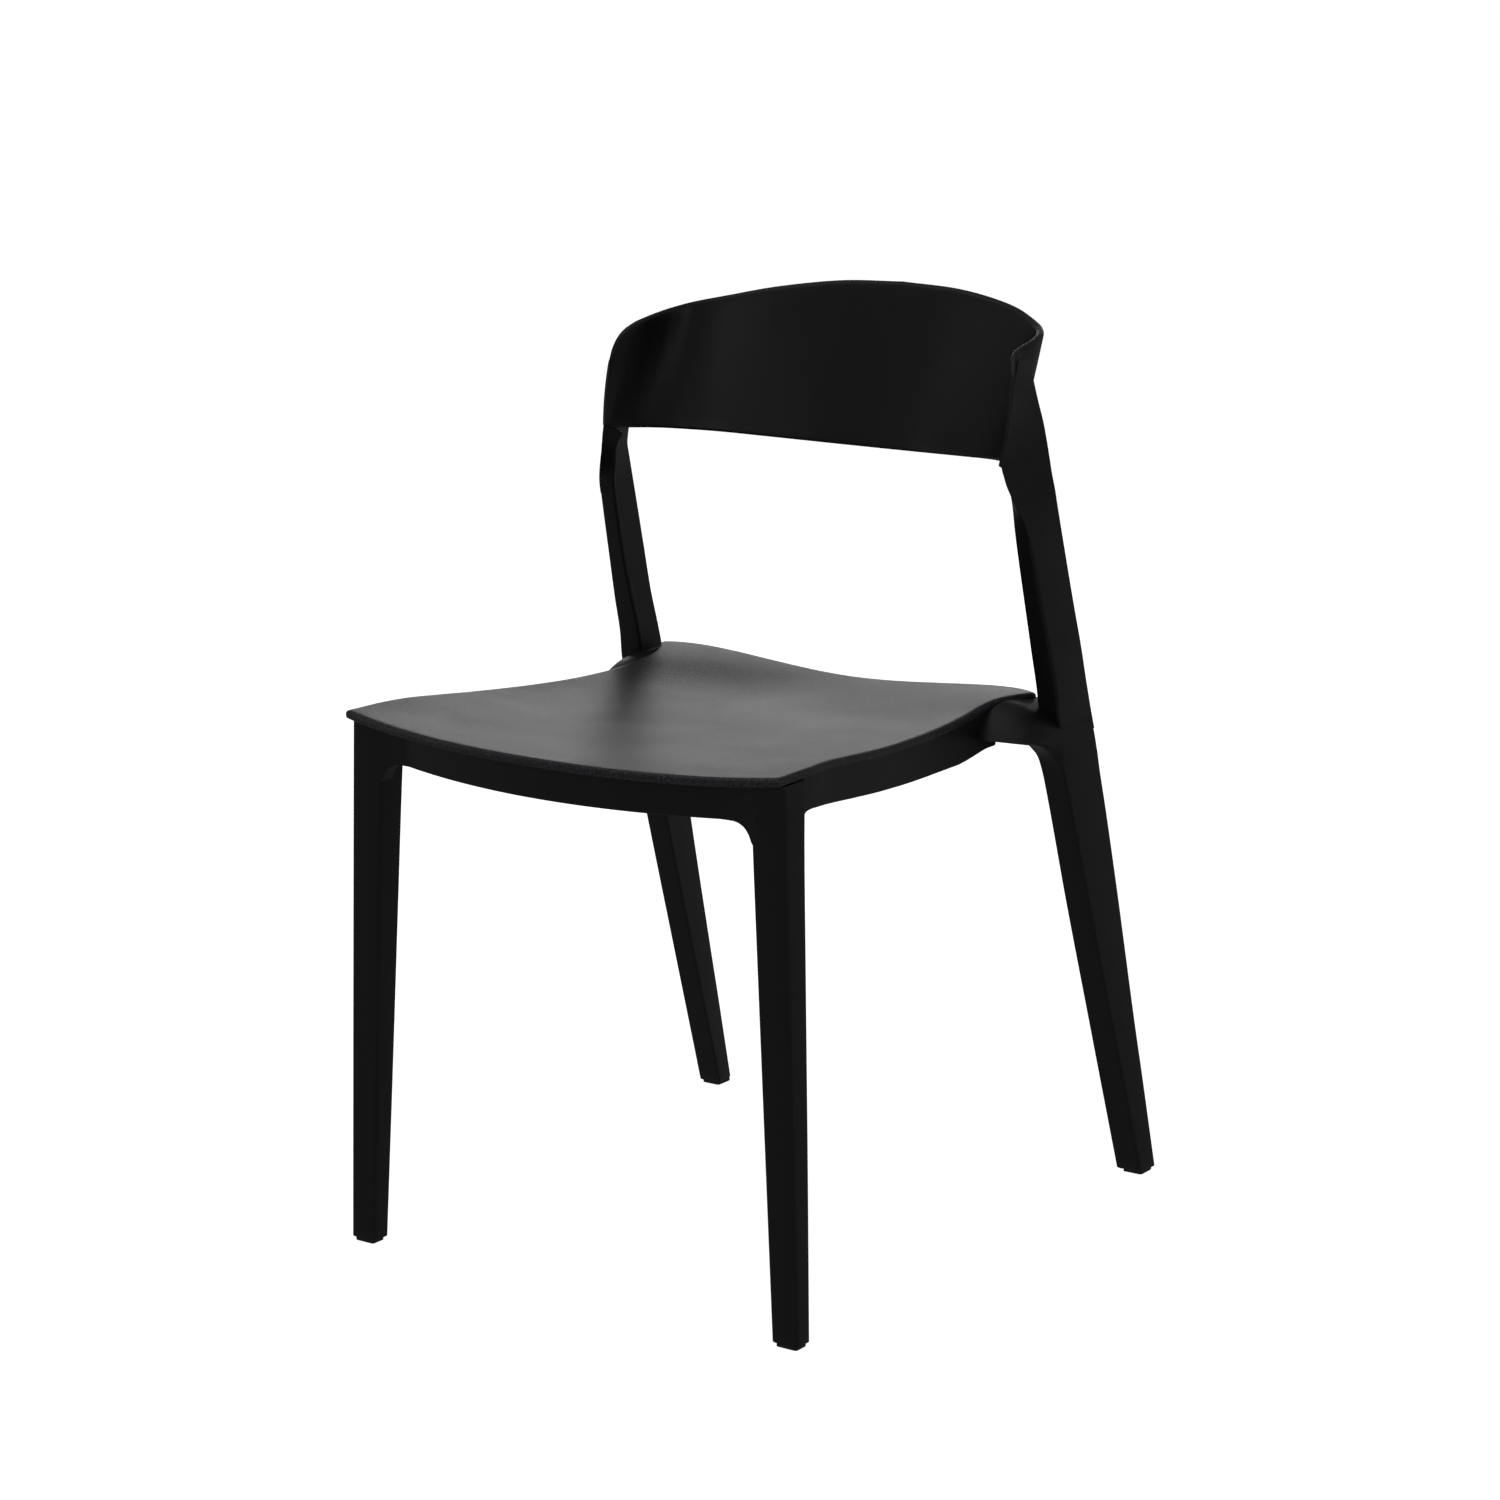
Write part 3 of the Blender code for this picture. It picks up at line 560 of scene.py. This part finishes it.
def sideRailPiece(side, mirrored):
    rings = []
    r = sideRail
    for y in spread(16, 60, 23) + spread(64, 300, 48) + spread(304, 372, 20):
        out = railOuter(y) + 0.001 * max(0.0, y - 320) ** 2
        low = smoothAt(r["low"], y)[0]
        high = smoothAt(seat["top"], y)[0] - seat["rim"] + 0.5
        inner = out - r["thick"]
        rings.append([(out, y, low + 2.2), (out, y, high), (inner, y, high - 1.4), (inner, y, low + 0.6),
                      (inner + 0.6, y, low), (out - 2.2, y, low), (out - 1.1, y, low + 0.3),
                      (out - 0.3, y, low + 1.0)])
    piece = skin("moulded_side_rail_" + side, rings, mirrored)
    for x, y in r["lugs"]:
        z = smoothAt(seat["top"], y)[0] - 28
        outer = railOuter(y) - 6
        plan = softOutline([(outer, y - 11), (outer, y + 11), (x - 11, y + 11), (x - 11, y - 11)],
                           [1, 1, 8, 8])
        join(piece, skin("lug", [[(p[0], p[1], h) for p in plan] for h in (z - 6, z)], mirrored), "UNION")
    fit(piece, frameMat, "frame", "side_rail_" + side)


rearRail = {"front": 402.0, "back": 415.0, "end": 206.0, "low": 421.0}


def rearRailPiece():
    rings = []
    r = rearRail
    for x in spread(-r["end"], r["end"], 81):
        low = r["low"] + 5 * (x / r["end"]) ** 2 - 9 * max(0.0, (abs(x) - 185) / 22) ** 2
        high = seatTop(x, r["front"]) - seat["rim"] + 0.6
        front = r["front"]
        back = r["back"]
        rings.append([(x, front, low + 1.5), (x, front, high), (x, back, high), (x, back, low + 1.5),
                      (x, back - 0.5, low + 0.4), (x, back - 1.5, low), (x, front + 1.5, low),
                      (x, front + 0.5, low + 0.4)])
    piece = skin("moulded_rear_rail", rings)
    fit(piece, frameMat, "frame", "rear_rail")


upright = {
    "seam": 632.0,
    # z, outer front corner x y, outer rear corner x y, inner front corner x y,
    # thickness of the front strip, of the outer wall beside it, and of the wall's rear edge
    "shape": [(420, 231.6, 402, 229.4, 457.5, 210, 403, 8, 8, 2.6),
              (440, 231, 393, 228.2, 452, 209.3, 395.5, 8, 8, 2.2),
              (469, 230.4, 388.7, 227.8, 443, 208.8, 389.6, 8, 8, 2.2),
              (500, 229.2, 380, 227.9, 433.1, 209.2, 380, 7.5, 7, 2.2),
              (540, 226.8, 369, 226.4, 421.3, 209.4, 368.3, 7, 6.5, 2.2),
              (590, 224, 355.6, 224.8, 406.8, 208.2, 356, 6.5, 6, 2.2),
              (612, 221.7, 348.9, 224.2, 400.4, 207.1, 352.2, 6.5, 6, 2.2),
              (625, 217.5, 344.1, 223.9, 396.6, 205.2, 353, 6.5, 6, 2.2),
              (632, 214.7, 341.5, 223.8, 394.6, 204.4, 353, 6.3, 5.8, 2.2),
              (640, 211.8, 339.1, 223.6, 392.4, 203.4, 352.6, 6, 5.5, 2.2),
              (648, 209.1, 336.6, 222.2, 391.4, 201.6, 353.6, 5.5, 5, 2.2),
              (655, 207.4, 335.2, 220.8, 391, 199.4, 357, 4.5, 4.5, 2.2),
              (664, 205.4, 334.1, 218.8, 391.4, 202, 345, 3, 4.2, 2.2),
              (680, 205.6, 337, 214.5, 393, 202.6, 347, 2.6, 4.2, 2.2),
              (695, 206.4, 340, 210.8, 393.3, 203.2, 350, 2.6, 4, 2.2),
              (712, 207.1, 343.3, 207, 391, 203.6, 353, 2.6, 4, 2.2),
              (724, 207.3, 347, 204.4, 389.6, 203.4, 357, 2.6, 3.6, 2),
              (733, 206.9, 351, 202.3, 389, 202.4, 360, 2.6, 3, 1.8),
              (743, 204.9, 358, 200.1, 386.4, 200.8, 364, 2.2, 2.4, 1.4),
              (750, 201.5, 366, 198.6, 383, 199.5, 369, 1.6, 1.8, 1)],
}


# an L of front strip and outer wall, open to the rear
def uprightRing(z):
    ox, oy, rx, ry, ix, iy, strip, root, tip = smoothAt(upright["shape"], z)
    corner = Vector((ox, oy))
    rear = Vector((rx, ry))
    inner = Vector((ix, iy))
    alongWall = (rear - corner).normalized()
    alongStrip = (inner - corner).normalized()
    turn = max(0.6, abs(alongWall.cross(alongStrip)))
    inWall = Vector((-alongWall.y, alongWall.x))
    behindStrip = Vector((alongStrip.y, -alongStrip.x))
    nook = corner + alongStrip * (root / turn) + alongWall * (strip / turn)
    points = [corner, rear, rear + inWall * tip, nook, inner + behindStrip * strip * 0.92, inner]
    soft = [1.8 if z > 600 else 3.2, 1.0, 1.0, 4, 2.4, 2.4]
    return [(x, y, z) for x, y in softOutline([tuple(p) for p in points], soft)]


rearLeg = {
    "footZ": 3.3,
    # z, outer front x y, outer rear x y, inner front x y, inner rear x y
    "shape": [(0, 243, 532, 244.2, 556.5, 217.7, 531.5, 223, 556.5),
              (90, 240.6, 501.7, 241.8, 534.3, 215.7, 501.2, 222, 534),
              (150, 239, 481.5, 240.2, 519, 214.4, 481, 221.3, 518.5),
              (270, 236, 441.3, 237.2, 490, 211.6, 441, 219.5, 488),
              (350, 234, 415, 235.3, 469.4, 209.8, 416, 216, 467),
              (385, 233, 403, 234.2, 460, 209, 404.5, 213, 458),
              (400, 232.8, 397, 233.6, 456.8, 207.8, 399.5, 211.5, 455.5),
              (408, 232.6, 391, 233.2, 455, 206, 396.5, 210.5, 454),
              (414.5, 232.4, 383, 232.8, 453.5, 204.2, 390.5, 209.5, 452.5),
              (420, 232.2, 374, 232.4, 452.3, 201.5, 384.5, 208.8, 451.7),
              (423, 232.1, 366, 232.3, 451.4, 197, 376, 208.3, 451),
              (425, 232, 359, 232.1, 450.8, 190, 362, 208, 450.6),
              (427, 231.9, 354, 232, 450, 184, 348, 207.7, 450),
              (430, 231.8, 346, 231.8, 449.5, 174, 333, 207.3, 449.5),
              (434, 231.6, 338, 232.2, 449, 168, 324, 207, 449),
              (462, 231.3, 334, 231.8, 447, 166, 319.5, 207.4, 447)],
    # x, z of the shoulder that falls from the seat's edge to the outer face
    "shoulder": [(150, 456.8), (178, 456.8), (190, 456.0), (201, 453.6), (210, 450.2), (218, 446),
                 (225, 440.5), (231, 433.8), (236, 426), (246, 408)],
    "shoulderFront": 384.0,    # forward of this the shoulder also falls towards the rail
    "fall": 0.0155,
}


# solid above the shoulder's surface, to cut the leg's head to shape
def aboveShoulder(mirrored):
    rings = []
    for y in spread(290, 480, 96):
        drop = rearLeg["fall"] * max(0.0, rearLeg["shoulderFront"] - y) ** 2
        ring = [(x, y, smoothAt(rearLeg["shoulder"], x)[0] - drop) for x in spread(150, 246, 41)]
        rings.append(ring + [(246, y, 482), (150, y, 482)])
    return skin("shoulder", rings, mirrored)


def rearLegPiece(side, mirrored):
    rings = []
    foot = rearLeg["footZ"]
    heights = [foot, foot + 0.3, foot + 0.8] + spread(12, 380, 38)
    heights += spread(385, 434, 34) + spread(437, 462, 10)
    for z in heights:
        ox, oy, rx, ry, ix, iy, jx, jy = smoothAt(rearLeg["shape"], z)
        tuck = 0.6 if z == foot else (0.2 if z < foot + 0.5 else 0.0)
        head = min(1.0, max(0.0, (z - 398) / 30))
        head = head * head * (3 - 2 * head)
        corners = [(ox - tuck, oy + tuck), (rx - tuck, ry - tuck), (jx + tuck, jy - tuck),
                   (ix + tuck, iy + tuck)]
        plan = softOutline(corners, [3.2 + 26 * head, 2.6, 2.6, 2.6 + 3 * head])
        rings.append([(x, y, z) for x, y in plan])
    leg = skin("moulded_rear_leg_" + side, rings, mirrored)
    join(leg, aboveShoulder(mirrored), "DIFFERENCE")
    heights = spread(424, upright["seam"], 70)
    join(leg, skin("upright", [uprightRing(z) for z in heights], mirrored), "UNION")
    fit(leg, frameMat, "frame", "rear_leg_" + side)


band = {
    "thick": 7.0,
    "edgeThick": 2.6,          # at the leading edge of each wing
    "crown": 1.6,              # how much the outer face bulges between its edges
    "steps": 150,
    # outer face from the wing's leading edge to the middle: bottom edge x y z, top edge x y z
    "shape": [(0, 205.4, 334.3, 665, 207.2, 345.6, 720), (1, 205.7, 338.5, 664, 206, 354, 737.4),
              (2, 205.8, 343.5, 663, 202.8, 361.6, 746.2), (3, 205.4, 350, 662.3, 199, 370.5, 751.9),
              (4, 203, 360, 661.5, 195.8, 381, 755.2), (5, 197.5, 372, 660.6, 194.4, 396, 757.8),
              (6, 187, 387, 659.6, 191.4, 416, 760.8), (7, 170, 404, 657.9, 182.5, 439.5, 764.6),
              (8, 142, 424, 655.4, 160.5, 463, 769.6), (9, 100, 441, 652.4, 120.5, 487, 778),
              (10, 50, 456, 649.6, 62, 501.8, 785.6), (11, 0, 460.2, 648.8, 0, 505.6, 788)],
}


# vertical section of the band: outer face, round top, inner face, round bottom
def bandRing(bottom, top, normal, thick):
    half = thick / 2
    edge = (top - bottom).normalized()
    out = []
    for s in spread(0.02, 0.98, 13):
        out.append(bottom.lerp(top, s) + normal * (4 * s * (1 - s) * band["crown"]))
    for k in range(1, 8):
        a = math.pi * k / 8
        out.append(top + edge * (half * (math.sin(a) - 0.6)) - normal * (half * (1 - math.cos(a))))
    for s in spread(0.98, 0.02, 13):
        out.append(bottom.lerp(top, s) + normal * (4 * s * (1 - s) * band["crown"] - 2 * half))
    for k in range(7, 0, -1):
        a = math.pi * k / 8
        out.append(bottom - edge * (half * (math.sin(a) - 0.6)) - normal * (half * (1 - math.cos(a))))
    return [(p.x, p.y, p.z) for p in out]


def backBandPiece():
    last = band["shape"][-1][0]
    steps = band["steps"]
    rows = []
    for i in range(2 * steps + 1):
        t = i / steps * last
        side = 1
        if t > last:
            t = 2 * last - t
            side = -1
        v = smoothAt(band["shape"], t)
        rows.append((Vector((side * v[0], v[1], v[2])), Vector((side * v[3], v[4], v[5]))))
    rings = []
    for i, (bottom, top) in enumerate(rows):
        before = rows[max(0, i - 1)]
        after = rows[min(len(rows) - 1, i + 1)]
        normal = (after[0] + after[1] - before[0] - before[1]).cross(top - bottom)
        normal.z = 0
        normal.normalize()
        t = min(i, len(rows) - 1 - i) / steps * last
        grown = math.sin(math.pi / 2 * min(1.0, t / 3.5))
        thick = band["edgeThick"] + (band["thick"] - band["edgeThick"]) * grown
        rings.append(bandRing(bottom, top, normal, thick))
    piece = skin("moulded_back_band", rings)
    for side, mirrored in sides:
        heights = spread(upright["seam"], 664, 22) + spread(667, 749, 34)
        root = skin("wing", [uprightRing(z) for z in heights], mirrored)
        join(piece, root, "UNION", True)
    fit(piece, frameMat, "frame", "back_band")


for side, mirrored in sides:
    frontLegPiece(side, mirrored)
    sideRailPiece(side, mirrored)
    rearLegPiece(side, mirrored)
frontRailPiece()
rearRailPiece()
stage("frame moulded")
backBandPiece()
stage("back band moulded")

for name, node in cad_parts.items():
    if name.startswith("glide"):
        node.data.materials.clear()
        node.data.materials.append(glideMat)
    if name.startswith("stack_pad"):
        node.data.materials.clear()
        node.data.materials.append(padMat)
    if name.startswith("seat_screw"):
        node.data.materials.clear()
        node.data.materials.append(screwMat)

studio = {
    "floorRadius": 9.0,
    "backdrop": "FFFFFF",
    "backdropGlow": 1.0,
    "floorGlow": 0.94,
}


def addStudio():
    s = studio
    mat, tree, shader = newMaterial("white_backdrop")
    shader.inputs["Base Color"].default_value = hexToLinear("000000")
    shader.inputs["Roughness"].default_value = 1.0
    shader.inputs["Specular IOR Level"].default_value = 0.0
    shader.inputs["Emission Color"].default_value = hexToLinear(s["backdrop"])
    shader.inputs["Emission Strength"].default_value = s["backdropGlow"]
    bm = bmesh.new()
    bmesh.ops.create_uvsphere(bm, u_segments=64, v_segments=32, radius=s["floorRadius"])
    dome = meshObject("backdrop", bm)
    dome.data.materials.append(mat)
    matFloor, tree, shader = newMaterial("white_floor")
    shader.inputs["Base Color"].default_value = hexToLinear("F4F4F4")
    shader.inputs["Roughness"].default_value = 1.0
    shader.inputs["Specular IOR Level"].default_value = 0.0
    shader.inputs["Emission Color"].default_value = hexToLinear(s["backdrop"])
    shader.inputs["Emission Strength"].default_value = s["floorGlow"]
    bm = bmesh.new()
    bmesh.ops.create_circle(bm, cap_ends=True, segments=96, radius=s["floorRadius"])
    floor = meshObject("floor", bm)
    floor.data.materials.append(matFloor)
    for ob in (dome, floor):
        ob.visible_diffuse = False
        ob.visible_glossy = False
        ob.visible_shadow = False


# name, place, aim, width, height, power
lights = [
    ("back_softbox", (-1.9, 2.8, 1.32), (0, 0, 0.5), 2.6, 0.5, 11),
    ("top_softbox", (-0.6, -0.4, 2.8), (0, 0, 0.4), 2.4, 2.4, 6),
    ("right_strip", (3.0, 0.5, 1.8), (0, 0, 0.6), 0.8, 1.2, 2.2),
    ("left_strip", (-3.0, -1.6, 1.1), (0, 0, 0.6), 0.7, 1.6, 2.0),
    ("front_fill", (1.6, -3.2, 2.2), (0, 0, 0.5), 2.0, 1.6, 6),
]


def addLights():
    for name, place, aim, width, height, power in lights:
        data = bpy.data.lights.new(name, "AREA")
        data.shape = "RECTANGLE"
        data.size = width
        data.size_y = height
        data.energy = power
        ob = bpy.data.objects.new(name, data)
        bpy.context.scene.collection.objects.link(ob)
        ob.location = place
        ob.rotation_euler = (Vector(aim) - Vector(place)).to_track_quat("-Z", "Y").to_euler()
        ob.visible_camera = False
    world = bpy.data.worlds.new("world")
    bpy.context.scene.world = world
    world.use_nodes = True
    world.node_tree.nodes["Background"].inputs["Strength"].default_value = 0.12
    world.node_tree.nodes["Background"].inputs["Color"].default_value = (1, 1, 1, 1)
    bpy.context.scene.view_settings.view_transform = "Standard"


addStudio()
addLights()
stage("studio lit")
